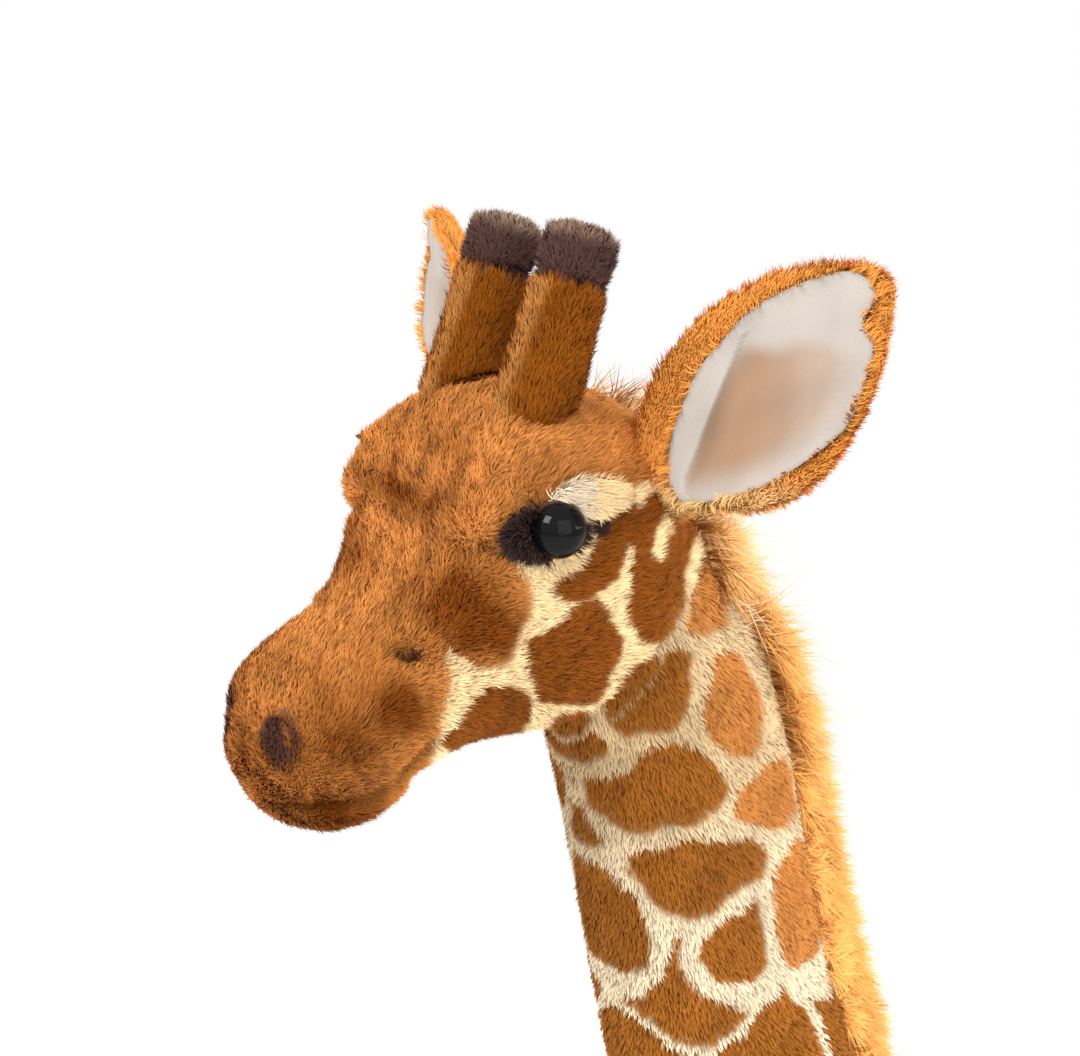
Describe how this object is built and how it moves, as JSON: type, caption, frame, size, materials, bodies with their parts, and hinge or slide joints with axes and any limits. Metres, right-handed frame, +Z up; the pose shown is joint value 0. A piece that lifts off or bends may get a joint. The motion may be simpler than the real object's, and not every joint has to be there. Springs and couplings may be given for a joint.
{
  "type": "plush giraffe",
  "caption": "Standing plush giraffe with a stuffed head on a long bending neck, swinging legs, flexing ears, a free tail and flat soles to stand on.",
  "frame": {"origin": "on the floor below the middle of the giraffe's box", "axes": "+Z up; the giraffe faces -Y and its left side is +X"},
  "size_m": [0.1944, 0.349, 0.6045],
  "materials": {
    "spotted_plush": "short pile plush, brown spots on cream",
    "head_plush": "short pile plush, orange-brown with brown spots and cream lines",
    "dark_plush": "dark brown short pile",
    "horn_plush": "chestnut short pile",
    "ear_lining": "pale satin-backed fabric",
    "cream_plush": "off-white short pile",
    "eye_gloss": "polished black",
    "washer_plastic": "matt, moulded",
    "mane_hair": "long orange pile",
    "hoof_suede": "dark brown brushed suede cloth",
    "sole_felt": "dark brown felt",
    "armature_steel": "drawn wire"
  },
  "bodies": {
    "torso": {"torso": "spotted_plush"},
    "neck": {"neck": "spotted_plush", "neck_wire": "armature_steel", "mane": "mane_hair"},
    "head": {"head": "head_plush", "lower_jaw": "head_plush", "eye_left": "eye_gloss", "eye_right": "eye_gloss", "eye_washer_left": "washer_plastic", "eye_washer_right": "washer_plastic", "eye_patch_left": "dark_plush", "eye_patch_right": "dark_plush", "eyelid_left": "cream_plush", "eyelid_right": "cream_plush", "nostril_left": "dark_plush", "nostril_right": "dark_plush", "horn_left": "horn_plush", "horn_right": "horn_plush", "horn_cap_left": "dark_plush", "horn_cap_right": "dark_plush"},
    "ear_left": {"ear_shell_left": "spotted_plush", "ear_lining_left": "ear_lining"},
    "ear_right": {"ear_shell_right": "spotted_plush", "ear_lining_right": "ear_lining"},
    "leg_front_left": {"leg_front_left": "spotted_plush", "hoof_front_left": "hoof_suede", "sole_front_left": "sole_felt", "leg_rod_front_left": "armature_steel"},
    "leg_front_right": {"leg_front_right": "spotted_plush", "hoof_front_right": "hoof_suede", "sole_front_right": "sole_felt", "leg_rod_front_right": "armature_steel"},
    "leg_rear_left": {"leg_rear_left": "spotted_plush", "hoof_rear_left": "hoof_suede", "sole_rear_left": "sole_felt", "leg_rod_rear_left": "armature_steel"},
    "leg_rear_right": {"leg_rear_right": "spotted_plush", "hoof_rear_right": "hoof_suede", "sole_rear_right": "sole_felt", "leg_rod_rear_right": "armature_steel"},
    "tail": {"tail": "spotted_plush", "tail_tuft": "dark_plush"}
  },
  "joints": [
    {"name": "neck_bend", "type": "hinge", "parent": "torso", "child": "neck", "pos_m": [0, -0.007, 0.299], "axis": [1, 0, 0], "range_deg": [-8, 14]},
    {"name": "head_nod", "type": "hinge", "parent": "neck", "child": "head", "pos_m": [0, -0.071, 0.507], "axis": [1, 0, 0], "range_deg": [-14, 14]},
    {"name": "ear_left_flex", "type": "hinge", "parent": "head", "child": "ear_left", "pos_m": [0.0265, -0.072, 0.542], "axis": [0.6099, 0.1912, -0.7691], "range_deg": [-12, 12]},
    {"name": "ear_right_flex", "type": "hinge", "parent": "head", "child": "ear_right", "pos_m": [-0.0265, -0.072, 0.542], "axis": [0.6099, -0.1912, 0.7691], "range_deg": [-12, 12]},
    {"name": "front_left_hip", "type": "hinge", "parent": "torso", "child": "leg_front_left", "pos_m": [0.032, -0.002, 0.232], "axis": [1, 0, 0], "range_deg": [-8, 8]},
    {"name": "front_right_hip", "type": "hinge", "parent": "torso", "child": "leg_front_right", "pos_m": [-0.032, -0.002, 0.232], "axis": [1, 0, 0], "range_deg": [-8, 8]},
    {"name": "rear_left_hip", "type": "hinge", "parent": "torso", "child": "leg_rear_left", "pos_m": [0.032, 0.119, 0.232], "axis": [1, 0, 0], "range_deg": [-8, 8]},
    {"name": "rear_right_hip", "type": "hinge", "parent": "torso", "child": "leg_rear_right", "pos_m": [-0.032, 0.119, 0.232], "axis": [1, 0, 0], "range_deg": [-8, 8]},
    {"name": "tail_swing", "type": "hinge", "parent": "torso", "child": "tail", "pos_m": [0, 0.151, 0.28], "axis": [1, 0, 0], "range_deg": [0, 40]}
  ]
}
